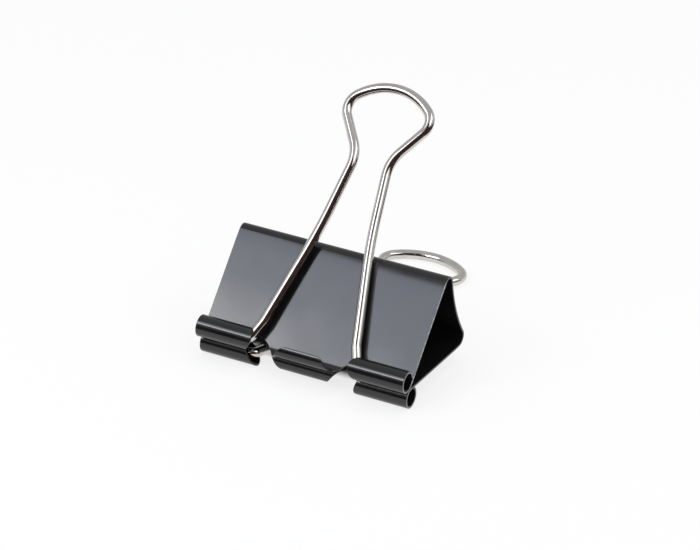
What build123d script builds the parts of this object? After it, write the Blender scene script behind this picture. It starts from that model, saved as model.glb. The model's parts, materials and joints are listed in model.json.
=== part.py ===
from build123d import *
import os
from math import asin, atan2, cos, degrees, radians, sin, tan

# A foldback clip: a spring-steel body bent to a wedge, and two wire handles hinged in its rolled lips.
# It is drawn about its mid-plane first: X along the jaws, Y from the jaws to the spine, Z across.
# At the end it is laid on its lower lips and its lower handle, as it rests on a table.
# Lengths are in millimetres and angles in degrees.

# Spring body
body_width = 51.0           # length of the jaws, along X
sheet = 0.5                 # thickness of the steel
jaw_angle = 25.1            # slope of a plate from the mid-plane, jaws closed
plate_length = 23.55        # flat plate, from the lip's axis to the spring bend
bend_radius = 2.05          # outside radius of the two spring bends
web_slope = 12.7            # the hollow spine's slope where it meets a bend
mouth_gap = 0.1             # between the two jaws' lips, closed

# Rolled lips
tube_radius = 2.5           # outside radius of the hinge tubes
tube_roll = 315.0           # angle that a tube is rolled through
tube_slant = 14.0           # slope of a tube's inner end, which reaches furthest in away from the plate
tube_corner = 1.0           # rounding of a tube's free edge, at its inner end
curl_radius = 2.0           # outside radius of the half-rolled lip in the middle
curl_roll = 180.0           # angle that the middle lip is rolled through
curl_root = 9.2             # half length of the middle lip at the plate
curl_tip = 5.0              # half length of the middle lip at its free edge
curl_corner = 0.8           # rounding of the middle lip's free corners
notch_depth = 1.4           # how far the leg notches reach into the plate
notch_corner = 1.9          # rounding of the notches

# Wire handles: the points are the bends' corners before rounding, from the hinge axis
wire_diameter = 2.25
foot_reach = 21.5           # half distance between the two wire ends
foot_spread = 12.4          # half distance between the feet's corners
foot_bend = 1.6             # bend radius at a foot, on the wire's centre line
bow_spread = 6.3            # half distance between the legs where they bow
bow_height = 27.2           # from the hinge axis to that bow
bow_bend = 130.0            # bend radius of the bow
neck_spread = 4.0           # half distance between the neck's corners
neck_bend = 8.8             # bend radius of the neck
loop_spread = 11.3          # half distance between the loop's shoulders
loop_bend = 4.0             # bend radius of the shoulders
flare_height = 11.0         # from the neck's corners up to the shoulders
shoulder_slope = 39.2       # slope of the loop's top edges beside its crown
handle_length = 62.6        # from the hinge axis to the loop's top, on the wire's centre line

# Clearances
plate_clearance = 0.55      # a folded handle's wire, off its plate beside the spring bend
leg_clearance = 0.15        # a swinging leg's side, off the furthest reach of its tube's inner end
arc_margin = 0.35           # straight wire left between the loop's crown and a shoulder

# Jaw section, along the plate (s) and out from its outer face (h), from the lip's axis
wire_radius = wire_diameter / 2
bore_radius = tube_radius - sheet
leg_lean = atan2(foot_spread - bow_spread, bow_height)
leg_side = foot_spread - bore_radius * tan(leg_lean) + wire_radius / cos(leg_lean)
end_slope = tan(radians(tube_slant))
tube_tip = leg_side + leg_clearance
tube_start = tube_tip + end_slope * tube_radius
tube_root = tube_start + end_slope * tube_radius
half_width = body_width / 2

# The upper plate's directions, and the axes of its tubes, which are its handle's hinge, and of its bend
slope = radians(jaw_angle)
along = Vector(0, cos(slope), sin(slope))
outward = Vector(0, -sin(slope), cos(slope))
tube_axis = Vector(0, 0, tube_radius + mouth_gap / 2)
lip_foot = tube_axis - outward * bore_radius
bend_axis = lip_foot - outward * bend_radius + along * plate_length
jaw_plane = Plane(origin=lip_foot, x_dir=(1, 0, 0), z_dir=outward)

# The folded handle leans towards its plate, from the tubes' axis to its clearance beside the bend
handle_lean = asin((bore_radius - wire_radius - plate_clearance) / plate_length)
handle_slope = slope - handle_lean
handle_plane = Plane(origin=tube_axis, x_dir=(1, 0, 0), z_dir=(0, -sin(handle_slope), cos(handle_slope)))


def ring_sector(centre, inner, outer, start, sweep):
    """A face between two radii about a centre, from one angle through a sweep."""
    outer_arc = CenterArc(centre, outer, start, sweep)
    inner_arc = CenterArc(centre, inner, start, sweep)
    sides = [Line(inner_arc @ 0, outer_arc @ 0), Line(inner_arc @ 1, outer_arc @ 1)]
    return make_face([outer_arc, inner_arc, *sides])


def strip(face, start, end):
    """A face of the section plane, drawn out along X from one place to another."""
    return Pos(start, 0, 0) * extrude(Plane.YZ * face, end - start)


def rolled_tube():
    """The hinge tube on the +X side, its free edge rounded at the inner end."""
    section = ring_sector((0, bore_radius), bore_radius, tube_radius, -90, -tube_roll)
    inner_end = Plane(origin=(tube_start, 0, bore_radius), z_dir=(1, 0, end_slope))
    tube = split(strip(section, tube_tip, half_width), bisect_by=inner_end, keep=Keep.TOP)
    free_angle = radians(-90 - tube_roll)
    middle_radius = tube_radius - sheet / 2
    free_rise = middle_radius * sin(free_angle)
    free_end = tube_start - end_slope * free_rise
    free_corner = (free_end, middle_radius * cos(free_angle), bore_radius + free_rise)
    return fillet(tube.edges().sort_by_distance(free_corner)[0], tube_corner)


def middle_curl():
    """The half-rolled lip between the handle's legs, narrowing to its free edge."""
    section = ring_sector((0, curl_radius - sheet), curl_radius - sheet, curl_radius, -90, -curl_roll)
    roll = strip(section, -curl_root, curl_root)
    top = 2 * curl_radius - sheet
    right = [(curl_root, -sheet), (curl_root, 0), (curl_tip, top)]
    left = [(-x, h) for x, h in reversed(right)]
    outline = make_face(Polyline(*right, *left, close=True))
    free_corners = outline.vertices().group_by(Axis.Y)[-1]
    outline = fillet(free_corners, curl_corner)
    return roll & extrude(Plane.XZ * outline, 2 * curl_radius, both=True)


def leg_notch():
    """The cut in the plate's edge on the +X side, where a leg of the handle passes."""
    width = tube_root - curl_root
    corner = min(notch_corner, (width - sheet) / 2)
    outline = Pos(curl_root + width / 2, 0) * Rectangle(width, 2 * notch_depth)
    outline = fillet(outline.vertices().group_by(Axis.Y)[-1], corner)
    return extrude(outline, 2 * sheet, both=True)


def jaw():
    """A plate with its two hinge tubes and its middle lip, in the plane of its outer face."""
    plate = Pos(0, plate_length / 2, -sheet / 2) * Box(body_width, plate_length, sheet)
    notch = leg_notch()
    plate = plate - notch - mirror(notch, about=Plane.YZ)
    tube = rolled_tube()
    return plate + tube + mirror(tube, about=Plane.YZ) + middle_curl()


def spring_bend():
    """The tight bend between the upper plate and the spine."""
    centre = (bend_axis.Y, bend_axis.Z)
    turn = 90 + jaw_angle + web_slope
    section = ring_sector(centre, bend_radius - sheet, bend_radius, 90 + jaw_angle, -turn)
    return strip(section, -half_width, half_width)


def spine_web():
    """The hollow back of the wedge, an arc from one spring bend to the other."""
    web_radius = bend_axis.Z / sin(radians(web_slope)) - bend_radius
    centre = (bend_axis.Y + (web_radius + bend_radius) * cos(radians(web_slope)), 0)
    section = ring_sector(centre, web_radius, web_radius + sheet, 180 - web_slope, 2 * web_slope)
    return strip(section, -half_width, half_width)


def handle():
    """One wire, from foot to foot round the loop, in the plane of its own centre line."""
    lean = radians(shoulder_slope)
    flare = atan2(loop_spread - neck_spread, flare_height)
    shoulder_turn = radians(90) - lean + flare
    shoulder_tangent = loop_bend * tan(shoulder_turn / 2)
    crown_bend = (loop_spread / cos(lean) - shoulder_tangent - arc_margin) / tan(lean)
    shoulder_at = handle_length + crown_bend * (1 / cos(lean) - 1) - loop_spread * tan(lean)
    neck_at = shoulder_at - flare_height
    crown = (0, shoulder_at + loop_spread * tan(lean))
    foot = [(foot_reach, 0), (foot_spread, 0)]
    right = foot + [(bow_spread, bow_height), (neck_spread, neck_at), (loop_spread, shoulder_at)]
    left = [(-x, s) for x, s in reversed(right)]
    bends = [foot_bend, bow_bend, neck_bend, loop_bend]
    path = FilletPolyline(*right, crown, *left, radius=[*bends, crown_bend, *reversed(bends)])
    wire = sweep(Plane(origin=path @ 0, z_dir=path % 0) * Circle(wire_radius), path=path)
    print("handle wire", round(path.length, 2), "long, volume over section times length",
          round(wire.volume / (path.length * Circle(wire_radius).area), 4))
    return wire


# The upper half, and the lower half as its mirror image
upper_half = {"jaw": jaw_plane * jaw(), "spring_bend": spring_bend(), "handle": handle_plane * handle()}
pieces = {"spine_web": spine_web()}
for name, solid in upper_half.items():
    pieces["upper_" + name] = solid
    pieces["lower_" + name] = mirror(solid, about=Plane.XY)

# Laid down: the lower tubes and the lower handle's loop touch the table together
touch_fall = asin((tube_radius - wire_radius) / handle_length)
tilt = degrees(handle_slope - touch_fall)
tilted = Rot(tilt, 0, 0)
extent = Compound([tilted * solid for solid in pieces.values()]).bounding_box()
laid = Pos(0, -extent.center().Y, -extent.min.Z) * tilted

os.makedirs("parts", exist_ok=True)
for name, solid in pieces.items():
    placed = laid * solid
    placed.label = name
    export_step(placed, f"parts/{name}.step")

print("tilt", round(tilt, 3))
for side, sign in (("upper", 1), ("lower", -1)):
    for name, point in (("bend axis", bend_axis), ("tube axis", tube_axis)):
        place = (laid * Pos(0, point.Y, sign * point.Z)).position
        print(side, name, [round(value, 4) for value in place])
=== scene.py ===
import json
from collections import namedtuple
from math import acos, asin, atan2, ceil, cos, pi, radians, sin, sqrt, tan

import bmesh
import bpy
from mathutils import Matrix, Vector


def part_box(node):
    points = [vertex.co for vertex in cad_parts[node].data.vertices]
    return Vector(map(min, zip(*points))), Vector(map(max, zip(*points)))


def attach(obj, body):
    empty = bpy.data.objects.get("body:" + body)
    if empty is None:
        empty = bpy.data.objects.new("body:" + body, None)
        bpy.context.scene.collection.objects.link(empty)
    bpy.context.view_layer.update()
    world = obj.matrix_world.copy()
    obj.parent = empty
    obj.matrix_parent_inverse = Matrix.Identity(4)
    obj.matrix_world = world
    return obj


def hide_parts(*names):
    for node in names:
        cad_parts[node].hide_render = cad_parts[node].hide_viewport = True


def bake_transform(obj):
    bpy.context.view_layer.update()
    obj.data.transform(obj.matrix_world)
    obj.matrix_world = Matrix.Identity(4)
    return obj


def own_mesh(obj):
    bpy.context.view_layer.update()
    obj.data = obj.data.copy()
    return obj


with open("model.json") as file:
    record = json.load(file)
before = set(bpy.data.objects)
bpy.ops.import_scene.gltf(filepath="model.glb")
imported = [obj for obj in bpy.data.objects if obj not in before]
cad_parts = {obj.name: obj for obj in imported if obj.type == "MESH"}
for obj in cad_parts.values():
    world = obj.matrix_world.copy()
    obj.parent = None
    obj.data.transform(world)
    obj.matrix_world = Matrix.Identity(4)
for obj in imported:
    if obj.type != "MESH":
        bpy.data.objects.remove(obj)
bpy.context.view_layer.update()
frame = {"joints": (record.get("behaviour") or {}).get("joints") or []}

# A foldback clip: a lacquered spring-steel body with rolled lips, and two nickel-plated wire handles.
# Shapes are worked out in millimetres and handed to Blender in metres.
MM = 0.001

# Sheet-metal body
SHEET = 0.5                 # thickness of the steel
EDGE = 0.1                  # rounding of the sheared edges
PLATE_LENGTH = 23.55        # flat plate, from the lip's axis to the spring bend
BEND_RADIUS = 2.05          # outside radius of the two spring bends
EASE_LENGTH = 4.2           # stretch of a plate that begins to curve towards its bend
EASE_TURN = radians(4.2)    # how far it has turned where the tight bend begins
WEB_SLOPE = radians(12.7)   # the hollow spine's slope where it meets a bend
HALF_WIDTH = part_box("spine_web")[1].x / MM

# Hinge tubes, rolled from the plate's edge beside the legs
TUBE_BORE = 2.0             # inside radius
TUBE_ROLL = radians(315)
TUBE_LENGTH = TUBE_ROLL * (TUBE_BORE + SHEET / 2)   # length of the flat tab that is rolled up
TUBE_CORNER = 1.2           # rounding of the free edge's inner corner

# A tube's inner end: its place at the tube's axis, its slope, and the roll at which it reaches furthest in
TubeEnd = namedtuple("TubeEnd", "place slope furthest")
TUBE_END = TubeEnd(13.45, radians(32.6), radians(172))
SQUARE_END = TubeEnd(13.5, radians(20.8), radians(125))     # the lower right tube is cut squarer

# Half-rolled lip in the middle, and the notches beside it
CURL_BORE = 1.5             # inside radius
CURL_ROLL = radians(188)
CURL_ADVANCE = 0.2          # flat edge before the roll begins
CURL_LENGTH = CURL_ADVANCE + CURL_ROLL * (CURL_BORE + SHEET / 2)    # length of the flat tab
CURL_ROOT = 9.3             # half length at the plate
CURL_TIP = 4.7              # half length at the free edge
CURL_CORNER = 0.9           # rounding of the free corners
NOTCH_DEPTH = 1.4
NOTCH_MIDDLE = (CURL_ROOT + TUBE_END.place) / 2

# How far the sheared edges take the pale colour of bare steel, from 0 to 1: real rubbing, and a painted
# highlight on some ends
PLATE_EDGE_HIGHLIGHT = 1.0            # painted highlight along the right end of the upper plate
TUBE_END_WEAR_AND_HIGHLIGHT = 0.34             # right ends of the tubes: rubbing, and partly a painted highlight
EDGE_WEAR = 0.038           # all other edges

# Wire handle: places of the bends' corners before rounding, from the hinge axis, and the bends' radii
WIRE_RADIUS = 1.125
PLATE_CLEARANCE = 0.55      # a folded handle's wire, off its plate beside the spring bend
HANDLE_LEAN = asin((TUBE_BORE - WIRE_RADIUS - PLATE_CLEARANCE) / PLATE_LENGTH)
FOOT_REACH = 21.5           # half distance between the wire's two ends
FOOT_SPREAD, FOOT_BEND = 13.2, 1.6
ANKLE_SPREAD, ANKLE_HEIGHT, ANKLE_BEND = 11.4, 4.5, 6.0
BOW_SPREAD, BOW_HEIGHT, BOW_BEND = 6.3, 27.2, 130.0
NECK_SPREAD, NECK_BEND = 4.0, 8.8
LOOP_SPREAD, LOOP_BEND = 11.3, 4.0
FLARE_HEIGHT = 11.0         # from the neck's corners up to the loop's shoulders
SHOULDER_SLOPE = radians(39.2)      # slope of the loop's top edges beside its crown
HANDLE_LENGTH = 62.6        # from the hinge axis to the loop's top
ARC_MARGIN = 0.35           # straight wire left between the loop's crown and a shoulder
END_CHAMFER = 0.2           # the sheared wire ends

# Mesh fineness
COLUMN = 2.0                # greatest width of a face along the jaws
ROLL_STEP = radians(5)      # greatest turn of a face round a roll or a bend
PLATE_ROWS = 14             # rows of faces in a plate, from the notches' rows to the bend
WEB_ROWS = 16               # rows of faces in the spine
CORNER_ROWS = 6             # rows of faces along a tab's rounded corners
NOTCH_ROWS = 4              # rows of faces that follow a notch's edge less and less
NOTCH_TOP = 4.0             # where along the plate those rows end
NOTCH_COLUMNS = 14          # faces across a notch
POINT_DIGITS = 4            # decimals that tell the points of a flat pattern apart
SEAM_TOLERANCE = 1e-6
MITRE_LIMIT = 0.5           # least cosine by which a rounded edge is stretched at an outline's corner
WIRE_SIDES = 32             # faces round the wire
WIRE_STEP = 1.0             # greatest length of a face along the wire
WIRE_TURN = radians(4)      # greatest turn of a face along a bend of the wire
BEND_FACES = 3              # fewest faces along a bend of the wire


class Side:
    """Where the upper or lower half is: its two axes, and the ways along and out of plate and handle."""

    def __init__(self, name, sign):
        places = {joint["name"]: Vector(joint["pos_m"]) / MM for joint in frame["joints"]}
        self.name = name
        self.bend = places[name + "_jaw_flex"]
        self.hinge = places[name + "_handle_swing"]
        reach = self.bend - self.hinge
        drop = atan2(BEND_RADIUS + TUBE_BORE, PLATE_LENGTH)
        slope = atan2(reach.z, reach.y) + sign * drop
        self.along = Vector((0, cos(slope), sin(slope)))
        self.outward = Vector((0, -sin(slope), cos(slope))) * sign
        self.foot = self.hinge - self.outward * TUBE_BORE
        self.handle_along = self.along * cos(HANDLE_LEAN) - self.outward * sin(HANDLE_LEAN)
        self.handle_outward = self.outward * cos(HANDLE_LEAN) + self.along * sin(HANDLE_LEAN)

    def point(self, x, s, h):
        """The place at x, s along the plate and h out from its outer face."""
        return Vector((x, 0, 0)) + self.foot + self.along * s + self.outward * h


UPPER = Side("upper", 1)
LOWER = Side("lower", -1)
JAW_ANGLE = acos(UPPER.along.dot(LOWER.along)) / 2
ACROSS = (UPPER.bend - LOWER.bend).normalized()
INWARD = (UPPER.along + LOWER.along).normalized()


def shares(count):
    """Numbers from 0 to 1 in even steps."""
    return [i / count for i in range(count + 1)]


def spread(low, high, count):
    """Numbers from low to high in even steps."""
    return [low + (high - low) * share for share in shares(count)]


def finished(name, points, normals, faces, body, node, material):
    """A closed smooth mesh of points in millimetres, in place of a CAD node. It rides on body, if given."""
    mesh = bpy.data.meshes.new(name)
    mesh.from_pydata([p * MM for p in points], [], faces)
    turned = bmesh.new()
    turned.from_mesh(mesh)
    bmesh.ops.recalc_face_normals(turned, faces=turned.faces)
    turned.to_mesh(mesh)
    turned.free()
    mesh.shade_smooth()
    mesh.normals_split_custom_set_from_vertices(normals)
    mesh.materials.append(material)
    piece = bpy.data.objects.new(name, mesh)
    bpy.context.scene.collection.objects.link(piece)
    if body:
        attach(piece, body)
    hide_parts(node)
    return piece


class FlatPattern:
    """A sheet-metal piece before bending: rows of (x, u) points, joined to quads where they meet."""

    def __init__(self):
        self.points, self.found, self.quads = [], {}, []

    def corner(self, x, u):
        """The number of the point at (x, u), which is added if it is new."""
        key = (round(x, POINT_DIGITS), round(u, POINT_DIGITS))
        if key not in self.found:
            self.found[key] = len(self.points)
            self.points.append((x, u))
        return self.found[key]

    def add(self, rows):
        """Adds the faces between rows, which run up u; each row runs up x."""
        ids = [[self.corner(x, u) for x, u in row] for row in rows]
        for low, high in zip(ids, ids[1:]):
            for i in range(len(low) - 1):
                self.quads.append((low[i], low[i + 1], high[i + 1], high[i]))

    def open_edges(self):
        """The edges that only one face has."""
        edges = set()
        for quad in self.quads:
            for a, b in zip(quad, quad[1:] + quad[:1]):
                if (b, a) in edges:
                    edges.remove((b, a))
                else:
                    edges.add((a, b))
        return edges


def edge_profile():
    """(step out, depth, turn) of the points round a sheared edge, from the outer face to the inner one."""
    profile = []
    for centre, start in ((-EDGE, 0), (EDGE - SHEET, 2)):
        for k in range(start, start + 3):
            turn = k * pi / 4
            profile.append((EDGE * sin(turn) - EDGE, centre + EDGE * cos(turn), turn))
    return profile


def thick_sheet(pattern, place, seams, wear_and_highlight):
    """Points, normals, faces and edge marks of a pattern, thickened and put in place by place(x, u, depth).
    Its open edges are rounded, apart from the ends at the u of seams, where the next piece joins on.
    The edges take a pale steel colour, for rubbing and for painted highlights, as far as the given function
    of (x, u) says."""
    ways = {}
    ends = []
    for a, b in pattern.open_edges():
        first, second = pattern.points[a][1], pattern.points[b][1]
        if any(max(abs(first - u), abs(second - u)) < SEAM_TOLERANCE for u in seams):
            ends.append((a, b))
        else:
            ways[a] = b
    back = {b: a for a, b in ways.items()}
    points, normals, faces, marks = [], [], [], []

    def put(x, u, depth, outwards, turn, mark):
        point, normal, tangent = place(x, u, depth)
        side = Vector((outwards[0], 0, 0)) + tangent * outwards[1]
        points.append(point)
        normals.append((normal * cos(turn) + side * sin(turn)).normalized())
        marks.append(mark)
        return len(points) - 1

    top, bottom, rims = {}, {}, {}
    for i, (x, u) in enumerate(pattern.points):
        if i not in ways and i not in back:
            top[i] = put(x, u, 0.0, (0, 0), 0, 0.0)
            bottom[i] = put(x, u, -SHEET, (0, 0), pi, 0.0)
            continue
        sides = []
        for a, b in ((back.get(i), i), (i, ways.get(i))):
            if a is not None and b is not None:
                dx = pattern.points[b][0] - pattern.points[a][0]
                du = pattern.points[b][1] - pattern.points[a][1]
                sides.append(Vector((du, -dx)).normalized())
        out = sum(sides, Vector((0, 0))).normalized()
        reach = 1 / max(MITRE_LIMIT, out.dot(sides[0]))
        rims[i] = []
        for step, depth, turn in edge_profile():
            mark = wear_and_highlight(x, u) if 0 < turn < pi else 0.0
            rims[i].append(put(x + step * reach * out.x, u + step * reach * out.y, depth, out, turn, mark))
        top[i], bottom[i] = rims[i][0], rims[i][-1]
    for quad in pattern.quads:
        faces.append([top[i] for i in quad])
        faces.append([bottom[i] for i in reversed(quad)])
    for a, b in ways.items():
        for k in range(len(rims[a]) - 1):
            faces.append([rims[a][k], rims[a][k + 1], rims[b][k + 1], rims[b][k]])
    for a, b in ends:
        faces.append([top[a], bottom[a], bottom[b], top[b]])
    for i in rims:
        if (i in ways) != (i in back):
            faces.append(rims[i])
    return points, normals, faces, marks


def mark_edges(piece, marks):
    """Keeps how much pale steel colour each point takes, for the lacquer: rubbing, and painted highlights
    on some ends.
    """
    attribute = piece.data.attributes.new("edge_rub_and_highlight", "FLOAT", "POINT")
    attribute.data.foreach_set("value", marks)


def corner_cut(distance, radius):
    """How far an outline steps in beside a rounded corner, at a distance from the corner's edge."""
    rest = max(0.0, radius - distance)
    return radius - sqrt(max(0.0, radius * radius - rest * rest))


def corner_rows(length, corner, count):
    """Rows of a tab from its free edge to the plate, closer together at the rounded corner."""
    rounding = [corner * (1 - cos(share * pi / 2)) for share in shares(CORNER_ROWS)]
    rest = spread(corner, length, count)[1:]
    return [distance - length for distance in rounding + rest]


def tube_end(u, end):
    """Distance of a tube's inner end from the clip's middle, at u."""
    roll = -u / (TUBE_BORE + SHEET / 2)
    slant = tan(end.slope) * (TUBE_BORE + SHEET) * cos(roll - end.furthest)
    return end.place - slant + corner_cut(TUBE_LENGTH + u, TUBE_CORNER)


def curl_end(u):
    """Half length of the middle lip at u."""
    share = -u / CURL_LENGTH
    return CURL_ROOT + (CURL_TIP - CURL_ROOT) * share - corner_cut(CURL_LENGTH + u, CURL_CORNER)


def notch_row(u, root, lift):
    """A row of the plate from the middle lip to a tube's root, lifted by a share of the notch's depth."""
    row = []
    for share in shares(NOTCH_COLUMNS):
        rise = NOTCH_DEPTH * sin(pi * share) * lift
        row.append((CURL_ROOT + (root - CURL_ROOT) * share, u + rise))
    return row


def mirrored(row):
    return [(-x, u) for x, u in reversed(row)]


def jaw_pattern(side):
    """The plate with two hinge tabs, a middle tab and a notch on each side of it."""
    pattern = FlatPattern()
    plate_us = spread(0, NOTCH_TOP, NOTCH_ROWS) + spread(NOTCH_TOP, PLATE_LENGTH, PLATE_ROWS)[1:]
    tube_us = corner_rows(TUBE_LENGTH, TUBE_CORNER, ceil(TUBE_ROLL / ROLL_STEP))
    curl_us = corner_rows(CURL_LENGTH, CURL_CORNER, ceil(CURL_ROLL / ROLL_STEP))
    for on_left in (True, False):
        end = TUBE_END if on_left or side is UPPER else SQUARE_END
        root = tube_end(0, end)
        columns = ceil((HALF_WIDTH - root) / COLUMN)
        starts = [(u, tube_end(u, end)) for u in tube_us] + [(u, root) for u in plate_us[1:]]
        tab = [[(x, u) for x in spread(start, HALF_WIDTH, columns)] for u, start in starts]
        notch = [notch_row(u, root, max(0.0, 1 - j / NOTCH_ROWS)) for j, u in enumerate(plate_us)]
        for rows in (tab, notch):
            pattern.add([mirrored(row) for row in rows] if on_left else rows)
    columns = ceil(2 * CURL_ROOT / COLUMN)
    halves = [(u, curl_end(u)) for u in curl_us] + [(u, CURL_ROOT) for u in plate_us[1:]]
    pattern.add([[(x, u) for x in spread(-half, half, columns)] for u, half in halves])
    return pattern


def rolled(side, x, along, depth, bore, advance):
    """A point of a tab rolled about its own axis, with the normal and the tangent there."""
    roll = along / (bore + SHEET / 2)
    radius = bore - depth
    point = side.point(x, -advance - radius * sin(roll), bore - radius * cos(roll))
    normal = side.along * sin(roll) + side.outward * cos(roll)
    tangent = side.along * cos(roll) - side.outward * sin(roll)
    return point, normal, tangent


def eased_plate(side, x, u, depth):
    """A point of the plate, which is flat and then curves softly into the bend."""
    stretch = 1 + BEND_RADIUS * sin(EASE_TURN) / PLATE_LENGTH
    length = PLATE_LENGTH * stretch
    lift = EASE_TURN * EASE_LENGTH / (3 * length - EASE_LENGTH)
    s = u * stretch
    eased = max(0.0, s - length + EASE_LENGTH) / EASE_LENGTH
    height = lift * s - (EASE_TURN + lift) * EASE_LENGTH * eased ** 3 / 3
    slope = lift - (EASE_TURN + lift) * eased ** 2
    normal = (side.outward - side.along * slope).normalized()
    tangent = (side.along + side.outward * slope).normalized()
    return side.point(x, s, height) + normal * depth, normal, tangent


def jaw(side, material):
    """A plate with its two hinge tubes and its middle lip."""
    def place(x, u, depth):
        if abs(x) > NOTCH_MIDDLE and u < 0:
            return rolled(side, x, -u, depth, TUBE_BORE, 0)
        if u < -CURL_ADVANCE:
            return rolled(side, x, -u - CURL_ADVANCE, depth, CURL_BORE, CURL_ADVANCE)
        if u < 0:
            return side.point(x, u, depth), side.outward, side.along
        return eased_plate(side, x, u, depth)

    # Pale steel colour on the edges: light rubbing everywhere, a painted highlight along the upper plate's
    # right end, and rubbing with a painted highlight on the tubes' right ends.
    def wear_and_highlight(x, u):
        if x < HALF_WIDTH - SHEET:
            return EDGE_WEAR
        if u < 0:
            return TUBE_END_WEAR_AND_HIGHLIGHT
        return PLATE_EDGE_HIGHLIGHT if side is UPPER else EDGE_WEAR

    node = side.name + "_jaw"
    points, normals, faces, marks = thick_sheet(jaw_pattern(side), place, [PLATE_LENGTH], wear_and_highlight)
    piece = finished(node + "_shell", points, normals, faces, node, node, material)
    mark_edges(piece, marks)


def straight_pattern(length, count):
    """A strip as wide as the clip."""
    pattern = FlatPattern()
    xs = spread(-HALF_WIDTH, HALF_WIDTH, ceil(2 * HALF_WIDTH / COLUMN))
    pattern.add([[(x, u) for x in xs] for u in spread(0, length, count)])
    return pattern


def spring_bend(side, material):
    """The tight bend from a plate, at u = 0, to the spine."""
    sweep = pi / 2 + JAW_ANGLE + WEB_SLOPE - EASE_TURN

    def place(x, u, depth):
        turn = EASE_TURN + u / BEND_RADIUS
        normal = side.outward * cos(turn) + side.along * sin(turn)
        tangent = side.along * cos(turn) - side.outward * sin(turn)
        return Vector((x, 0, 0)) + side.bend + normal * (BEND_RADIUS + depth), normal, tangent

    length = sweep * BEND_RADIUS
    node = side.name + "_spring_bend"
    pattern = straight_pattern(length, ceil(sweep / ROLL_STEP))
    points, normals, faces, marks = thick_sheet(pattern, place, [0, length], lambda x, u: EDGE_WEAR)
    piece = finished(node + "_shell", points, normals, faces, None, node, material)
    mark_edges(piece, marks)
    middle = -SHEET / 2
    place(0, length, middle)[0] * MM
    place(0, 0, middle)[0] * MM
    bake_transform(piece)


def spine_web(material):
    """The hollow back of the wedge, an arc from the lower spring bend to the upper one."""
    half_span = (UPPER.bend - LOWER.bend).length / 2
    radius = half_span / sin(WEB_SLOPE) - BEND_RADIUS
    centre = (UPPER.bend + LOWER.bend) / 2 + INWARD * ((radius + BEND_RADIUS) * cos(WEB_SLOPE))
    length = 2 * WEB_SLOPE * radius

    def place(x, u, depth):
        turn = u / radius - WEB_SLOPE
        spoke = ACROSS * sin(turn) - INWARD * cos(turn)
        tangent = ACROSS * cos(turn) + INWARD * sin(turn)
        return Vector((x, 0, 0)) + centre + spoke * (radius - depth), -spoke, tangent

    pattern = straight_pattern(length, WEB_ROWS)
    points, normals, faces, marks = thick_sheet(pattern, place, [0, length], lambda x, u: EDGE_WEAR)
    piece = finished("spine_web_shell", points, normals, faces, "spine", "spine_web",
                     material)
    mark_edges(piece, marks)


def straight_run(start, end):
    """Places and directions from one point to just before another."""
    count = max(1, ceil((end - start).length / WIRE_STEP))
    way = (end - start).normalized()
    return [(start.lerp(end, share), way) for share in shares(count)[:-1]]


def rounded_path(corners, bends):
    """Places and directions along straight runs joined by arcs, in the plane of the handle."""
    path = []
    last = Vector(corners[0])
    for before, corner, after, radius in zip(corners, corners[1:], corners[2:], bends):
        corner = Vector(corner)
        come = (corner - Vector(before)).normalized()
        leave = (Vector(after) - corner).normalized()
        turn = atan2(come.x * leave.y - come.y * leave.x, come.dot(leave))
        cut = radius * tan(abs(turn) / 2)
        start = corner - come * cut
        path += straight_run(last, start)
        hub = start + Vector((-come.y, come.x)) * (radius if turn > 0 else -radius)
        count = max(BEND_FACES, ceil(abs(turn) / WIRE_TURN), ceil(abs(turn) * radius / WIRE_STEP))
        for share in shares(count)[:-1]:
            spin = Matrix.Rotation(turn * share, 2)
            path.append((hub + spin @ (start - hub), spin @ come))
        last = corner + leave * cut
    return path + straight_run(last, Vector(corners[-1])) + [(Vector(corners[-1]), leave)]


def handle_path():
    """The wire's centre line from foot to foot round the loop, as (x, distance from the hinge axis)."""
    flare = atan2(LOOP_SPREAD - NECK_SPREAD, FLARE_HEIGHT)
    tangent = LOOP_BEND * tan((pi / 2 - SHOULDER_SLOPE + flare) / 2)
    crown_bend = (LOOP_SPREAD / cos(SHOULDER_SLOPE) - tangent - ARC_MARGIN) / tan(SHOULDER_SLOPE)
    loop_rise = LOOP_SPREAD * tan(SHOULDER_SLOPE)
    shoulder = HANDLE_LENGTH + crown_bend * (1 / cos(SHOULDER_SLOPE) - 1) - loop_rise
    right = [(FOOT_REACH, 0), (FOOT_SPREAD, 0), (ANKLE_SPREAD, ANKLE_HEIGHT), (BOW_SPREAD, BOW_HEIGHT),
             (NECK_SPREAD, shoulder - FLARE_HEIGHT), (LOOP_SPREAD, shoulder)]
    left = [(-x, s) for x, s in reversed(right)]
    bends = [FOOT_BEND, ANKLE_BEND, BOW_BEND, NECK_BEND, LOOP_BEND]
    return rounded_path(right + [(0, shoulder + loop_rise)] + left, bends + [crown_bend] + bends[::-1])


def map_wire(piece, rings):
    """A UV map of the wire: the length along it, and the share of a turn round it."""
    lengths = [0.0]
    for (a, _, _), (b, _, _) in zip(rings, rings[1:]):
        lengths.append(lengths[-1] + (b - a).length)
    layer = piece.data.uv_layers.new(name="wire")
    for polygon in piece.data.polygons:
        turns = [piece.data.loops[i].vertex_index % WIRE_SIDES for i in polygon.loop_indices]
        wraps = max(turns) - min(turns) > WIRE_SIDES / 2
        for i, turn in zip(polygon.loop_indices, turns):
            ring = piece.data.loops[i].vertex_index // WIRE_SIDES
            around = turn + WIRE_SIDES if wraps and turn < WIRE_SIDES / 2 else turn
            layer.data[i].uv = (lengths[ring], around / WIRE_SIDES)


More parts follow.
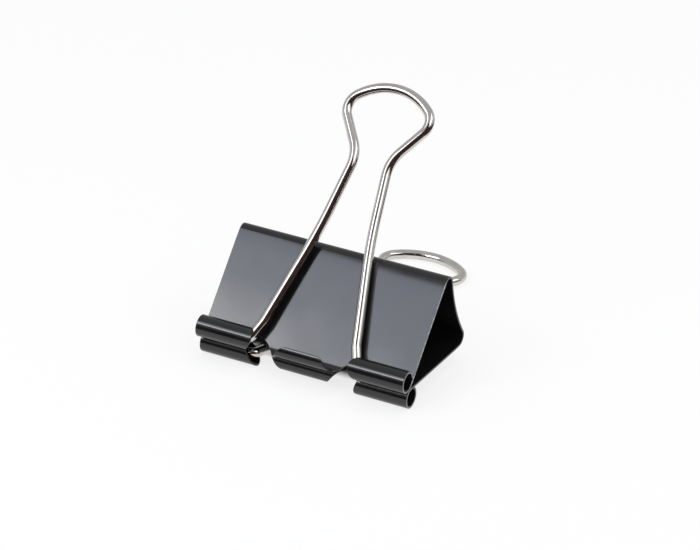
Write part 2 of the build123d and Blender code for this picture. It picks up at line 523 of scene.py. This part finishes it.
def handle(side, material):
    """The wire swept along its path, with chamfered ends."""
    path = handle_path()
    (first, way), (last, end_way) = path[0], path[-1]
    tip = WIRE_RADIUS - END_CHAMFER
    rings = [(first, way, tip), (first + way * END_CHAMFER, way, WIRE_RADIUS)]
    rings += [(place, direction, WIRE_RADIUS) for place, direction in path[1:-1]]
    rings += [(last - end_way * END_CHAMFER, end_way, WIRE_RADIUS), (last, end_way, tip)]
    points, normals, faces = [], [], []
    for place, direction, radius in rings:
        across = Vector((-direction.y, direction.x))
        centre = side.hinge + Vector((place.x, 0, 0)) + side.handle_along * place.y
        for k in range(WIRE_SIDES):
            turn = 2 * pi * k / WIRE_SIDES
            flat = across * cos(turn)
            normal = Vector((flat.x, 0, 0)) + side.handle_along * flat.y + side.handle_outward * sin(turn)
            points.append(centre + normal * radius)
            normals.append(normal)
    for i in range(len(rings) - 1):
        for k in range(WIRE_SIDES):
            a, b = i * WIRE_SIDES + k, i * WIRE_SIDES + (k + 1) % WIRE_SIDES
            faces.append([a, b, b + WIRE_SIDES, a + WIRE_SIDES])
    faces.append(list(range(WIRE_SIDES)))
    faces.append([len(points) - 1 - k for k in range(WIRE_SIDES)])
    node = side.name + "_handle"
    piece = finished(node + "_wire", points, normals, faces, node, node, material)
    map_wire(piece, rings)
    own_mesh(piece)


# Materials: the colours that lacquer and plating vary between, and the pale steel colour of rubbed edges
# and painted edge highlights
BLACK, SOFT_BLACK = (0.006, 0.006, 0.007, 1), (0.009, 0.009, 0.010, 1)
NICKEL, PALE_NICKEL = (0.60, 0.575, 0.545, 1), (0.66, 0.635, 0.605, 1)
BARE_STEEL_AND_HIGHLIGHT = (0.5, 0.5, 0.51, 1)
EDGE_MARK_ROUGHNESS = 0.7        # added where edges are rubbed and where they carry a painted highlight
LINE_SCALE = (0.05, 60.0, 1.0)                  # fineness of the drawn lines, along and round the wire
MIX_FIRST, MIX_SECOND, MIX_RESULT = 6, 7, 2     # a mix node's colour sockets


class Nodes:
    """The node tree of a material or a world, with short ways to add and join nodes."""

    def __init__(self, owner):
        owner.use_nodes = True
        self.tree = owner.node_tree

    def feed(self, socket, value):
        """Joins another node's output to a socket, or sets the socket to a constant."""
        if isinstance(value, bpy.types.NodeSocket):
            self.tree.links.new(value, socket)
        else:
            socket.default_value = value

    def fill(self, node, inputs):
        for key, value in inputs.items():
            self.feed(node.inputs[key.replace("_", " ")], value)
        return node

    def add(self, kind, settings=None, **inputs):
        node = self.tree.nodes.new(kind)
        for key, value in (settings or {}).items():
            setattr(node, key, value)
        return self.fill(node, inputs)

    def shader(self, **inputs):
        """The material's main shader, with its inputs."""
        return self.fill(self.tree.nodes["Principled BSDF"], inputs)

    def noise(self, place, scale, detail):
        return self.add("ShaderNodeTexNoise", Vector=place, Scale=scale, Detail=detail).outputs["Fac"]

    def bump(self, height, distance, strength, **below):
        node = self.add("ShaderNodeBump", Height=height, Distance=distance, Strength=strength, **below)
        return node.outputs["Normal"]

    def ramp(self, factor, source, target, interpolation="LINEAR"):
        """A number that goes through the target's range as factor goes through the source's."""
        node = self.add("ShaderNodeMapRange", {"interpolation_type": interpolation}, Value=factor,
                        From_Min=source[0], From_Max=source[1], To_Min=target[0], To_Max=target[1])
        return node.outputs["Result"]

    def mix(self, factor, first, second):
        """A colour between two colours."""
        node = self.add("ShaderNodeMix", {"data_type": "RGBA"}, Factor=factor)
        self.feed(node.inputs[MIX_FIRST], first)
        self.feed(node.inputs[MIX_SECOND], second)
        return node.outputs[MIX_RESULT]

    def calculate(self, operation, first, second=0.0):
        node = self.add("ShaderNodeMath", {"operation": operation})
        self.feed(node.inputs[0], first)
        self.feed(node.inputs[1], second)
        return node.outputs[0]

    def times(self, first, second):
        return self.calculate("MULTIPLY", first, second)

    def plus(self, first, second):
        return self.calculate("ADD", first, second)


def black_lacquer():
    """Satin black lacquer with a fine orange peel on gently wavy sheet, rubbed at the sheared edges, and
    with a pale steel colour painted as a highlight on some ends.
    """
    material = bpy.data.materials.new("black_lacquer")
    n = Nodes(material)
    place = n.add("ShaderNodeTexCoord").outputs["Object"]
    peel = n.noise(place, scale=2600.0, detail=2.0)
    grain = n.noise(place, scale=9000.0, detail=1.0)
    cloud = n.noise(place, scale=170.0, detail=3.0)
    edge_mottle = n.noise(place, scale=900.0, detail=4.0)
    wave = n.noise(place, scale=55.0, detail=1.0)
    rub_and_highlight_share = n.add("ShaderNodeAttribute", {"attribute_name": "edge_rub_and_highlight"}).outputs["Fac"]
    # Pale steel colour on the edges: rubbed lacquer, and a painted highlight on the upper plate's right end
    # and the tubes' right ends.
    pale_steel_share = n.times(rub_and_highlight_share, n.ramp(edge_mottle, (0.42, 0.62), (0.5, 1.0)))
    tone = n.mix(n.ramp(cloud, (0.35, 0.65), (0.0, 1.0)), BLACK, SOFT_BLACK)
    satin = n.plus(n.ramp(cloud, (0.3, 0.7), (0.12, 0.15)), n.ramp(grain, (0.3, 0.7), (-0.02, 0.03)))
    rough = n.plus(satin, n.times(pale_steel_share, EDGE_MARK_ROUGHNESS))
    sheet = n.bump(wave, distance=0.00012, strength=1.0)
    coarse = n.bump(peel, distance=0.000006, strength=0.35, Normal=sheet)
    fine = n.bump(grain, distance=0.000003, strength=0.35, Normal=coarse)
    n.shader(Base_Color=n.mix(pale_steel_share, tone, BARE_STEEL_AND_HIGHLIGHT), Roughness=rough, Specular_IOR_Level=0.6, Normal=fine)
    return material


def nickel_wire():
    """Bright nickel on drawn wire: fine lines along it, and a faint haze."""
    material = bpy.data.materials.new("nickel_wire")
    n = Nodes(material)
    uv = n.add("ShaderNodeUVMap", {"uv_map": "wire"}).outputs["UV"]
    stretched = n.add("ShaderNodeMapping", Vector=uv, Scale=LINE_SCALE).outputs["Vector"]
    lines = n.noise(stretched, scale=1.0, detail=3.0)
    haze = n.noise(n.add("ShaderNodeTexCoord").outputs["Object"], scale=320.0, detail=4.0)
    tone = n.mix(n.ramp(haze, (0.35, 0.65), (0.0, 1.0)), NICKEL, PALE_NICKEL)
    rough = n.plus(n.ramp(lines, (0.3, 0.7), (0.04, 0.08)), n.ramp(haze, (0.3, 0.7), (0.0, 0.02)))
    drawn = n.bump(lines, distance=0.000002, strength=0.1)
    n.shader(Base_Color=tone, Metallic=1.0, Roughness=rough, Normal=drawn)
    return material


# Camera: the photograph's view, worked out from the clip's edges
AZIMUTH, ELEVATION, ROLL = radians(26.8), radians(28.144), radians(1.525)
AIM = Vector((-1.112, -7.767, 15.17))
DISTANCE = 757.617
LENS, SENSOR = 175.958, 36.0
CLIP_START = 0.01           # in metres


def camera():
    data = bpy.data.cameras.new("camera")
    data.lens = LENS
    data.sensor_width = SENSOR
    data.sensor_fit = "HORIZONTAL"
    data.clip_start = CLIP_START
    item = bpy.data.objects.new("camera", data)
    bpy.context.scene.collection.objects.link(item)
    back = Vector((sin(AZIMUTH) * cos(ELEVATION), -cos(AZIMUTH) * cos(ELEVATION), sin(ELEVATION)))
    turn = back.to_track_quat("Z", "Y").to_matrix().to_4x4() @ Matrix.Rotation(ROLL, 4, "Z")
    item.matrix_world = Matrix.Translation((AIM + back * DISTANCE) * MM) @ turn
    bpy.context.scene.camera = item


# Studio, in metres: a pale floor under a grey ceiling, four softboxes, and dark cards that only gloss shows
WHITE = (1, 1, 1, 1)
COOL_WHITE, PALE_BLUE = (0.96, 0.97, 1.0), (0.78, 0.84, 1.0)    # light of the softboxes on the left
FLOOR_PAINT = (0.92, 0.92, 0.92, 1)
FLOOR_SIZE = 6.0
FLOOR_GLOW = 0.8            # share of plain white in the floor, where it is seen or reflected
SHADE_MIDDLE = -0.0155      # the floor under the clip's body doesn't glow: its middle, along Y
SHADE_REACH = Vector((0.022, 0.01))         # its half sizes, along X and Y
SHADE_EDGE = Vector((0.006, 0.0028))        # widths of its soft edges
HORIZON, CEILING = 0.7, 0.55                # brightness of the surroundings
HORIZON_TOP, CEILING_START = 0.15, 0.40     # sines of the elevations between which it changes
CLIP_MIDDLE = Vector((0, -0.012, 0.014))    # what the softboxes face
CARD_PAINT = (0.05, 0.03, 0.026, 1)
CARD_LEFT, CARD_RIGHT = -0.7, 0.6           # ends of the cards at the front, along X
CARD_FRONT, CARD_BACK = -0.5, -0.065        # edges of the card that lies there, along Y
CARD_CORNER, CORNER_HEIGHT = (0.9, -0.1), 0.3       # where the two upright cards on the right meet
CARD_LIFT = 0.0005          # height of the cards that lie on the floor


def surroundings():
    """Pale up to a little above the horizon, and then a soft change to the grey of the ceiling."""
    world = bpy.data.worlds.new("studio")
    bpy.context.scene.world = world
    n = Nodes(world)
    way = n.add("ShaderNodeTexCoord").outputs["Generated"]
    height = n.add("ShaderNodeSeparateXYZ", Vector=way).outputs["Z"]
    strength = n.ramp(height, (HORIZON_TOP, CEILING_START), (HORIZON, CEILING), "SMOOTHSTEP")
    n.fill(n.tree.nodes["Background"], {"Color": WHITE, "Strength": strength})


def rectangle(name, corners, material):
    """A flat piece of the studio."""
    mesh = bpy.data.meshes.new(name)
    mesh.from_pydata(corners, [], [(0, 1, 2, 3)])
    mesh.materials.append(material)
    item = bpy.data.objects.new(name, mesh)
    bpy.context.scene.collection.objects.link(item)
    return item


def lying(low, high, z):
    """Corners of a rectangle between two corners, at a height."""
    return [(low[0], low[1], z), (high[0], low[1], z), (high[0], high[1], z), (low[0], high[1], z)]


def standing(start, end, start_height, end_height):
    """Corners of an upright card on the floor between two places."""
    return [(*start, 0), (*end, 0), (*end, end_height), (*start, start_height)]


def seen_directly(n):
    """1 for rays from the camera and for reflected and refracted ones, 0 for diffuse light."""
    path = n.add("ShaderNodeLightPath").outputs
    first = n.calculate("MAXIMUM", path["Is Camera Ray"], path["Is Glossy Ray"])
    return n.calculate("MAXIMUM", first, path["Is Transmission Ray"])


def open_floor(n):
    """0 under the clip's body, 1 elsewhere."""
    place = n.add("ShaderNodeSeparateXYZ", Vector=n.add("ShaderNodeTexCoord").outputs["Object"]).outputs
    beside = n.calculate("ABSOLUTE", place["X"])
    before = n.calculate("ABSOLUTE", n.plus(place["Y"], -SHADE_MIDDLE))
    far_beside = n.ramp(beside, (SHADE_REACH.x - SHADE_EDGE.x, SHADE_REACH.x), (0.0, 1.0))
    far_before = n.ramp(before, (SHADE_REACH.y - SHADE_EDGE.y, SHADE_REACH.y), (0.0, 1.0))
    return n.calculate("MAXIMUM", far_beside, far_before)


def floor():
    """White paint, with a glow that is seen and reflected but gives no diffuse light."""
    material = bpy.data.materials.new("floor_paint")
    n = Nodes(material)
    paint = n.shader(Base_Color=FLOOR_PAINT, Roughness=0.9, Specular_IOR_Level=0.1)
    glow = n.add("ShaderNodeEmission", Color=WHITE, Strength=1.0)
    both = n.add("ShaderNodeMixShader")
    n.feed(both.inputs[0], n.times(n.times(seen_directly(n), FLOOR_GLOW), open_floor(n)))
    n.feed(both.inputs[1], paint.outputs[0])
    n.feed(both.inputs[2], glow.outputs[0])
    n.feed(n.tree.nodes["Material Output"].inputs["Surface"], both.outputs[0])
    half = FLOOR_SIZE / 2
    rectangle("floor", lying((-half, -half), (half, half), 0), material)


def softbox(name, azimuth, elevation, distance, size, radiance, colour):
    """An area light that faces the clip. Its azimuth goes from the front to the right, in degrees."""
    a, e = radians(azimuth), radians(elevation)
    way = Vector((sin(a) * cos(e), -cos(a) * cos(e), sin(e)))
    width, height = size
    data = bpy.data.lights.new(name, "AREA")
    data.shape = "RECTANGLE"
    data.size, data.size_y = width, height
    data.energy = radiance * pi * width * height
    data.color = colour
    item = bpy.data.objects.new(name, data)
    bpy.context.scene.collection.objects.link(item)
    turn = way.to_track_quat("Z", "Y").to_matrix().to_4x4()
    item.matrix_world = Matrix.Translation(CLIP_MIDDLE + way * distance) @ turn
    return item


def softboxes():
    """Two on the left for the bright lines, one on the right, and one overhead that gloss doesn't show."""
    softbox("left_softbox", azimuth=-31, elevation=38.5, distance=0.6,
            size=(0.3, 0.094), radiance=8.4, colour=COOL_WHITE)
    softbox("high_softbox", azimuth=-36, elevation=48, distance=0.6,
            size=(0.3, 0.105), radiance=3.4, colour=PALE_BLUE)
    softbox("right_softbox", azimuth=88, elevation=48, distance=0.6,
            size=(0.55, 0.28), radiance=1.4, colour=WHITE[:3])
    top = softbox("top_softbox", azimuth=180, elevation=80, distance=1.0,
                  size=(0.8, 0.8), radiance=1.2, colour=WHITE[:3])
    top.visible_glossy = False


def dark_cards():
    """Dark cards at the front and on the right, which the gloss of tubes and wires shows as dark lines."""
    material = bpy.data.materials.new("dark_card")
    Nodes(material).shader(Base_Color=CARD_PAINT, Roughness=1.0, Specular_IOR_Level=0.0)
    cards = {
        "low_card": standing((CARD_LEFT, CARD_FRONT), (CARD_RIGHT, CARD_FRONT), 0.2, 0.2),
        "right_card": standing((-0.02, -0.49), CARD_CORNER, 0.85, CORNER_HEIGHT),
        "side_card": standing(CARD_CORNER, (0.8, 0.45), CORNER_HEIGHT, 0.12),
        "side_table_card": lying((0.1, CARD_BACK), (0.7, 0.5), CARD_LIFT),
        "table_card": lying((CARD_LEFT, CARD_FRONT), (CARD_RIGHT, CARD_BACK), CARD_LIFT),
    }
    for name, corners in cards.items():
        card = rectangle(name, corners, material)
        card.visible_camera = False
        card.visible_diffuse = False
        card.visible_shadow = False
        card.visible_transmission = False


lacquer = black_lacquer()
nickel = nickel_wire()
spine_web(lacquer)
for side in (UPPER, LOWER):
    spring_bend(side, lacquer)
    jaw(side, lacquer)
    handle(side, nickel)

camera()
surroundings()
floor()
softboxes()
dark_cards()
bpy.context.scene.view_settings.view_transform = "Standard"
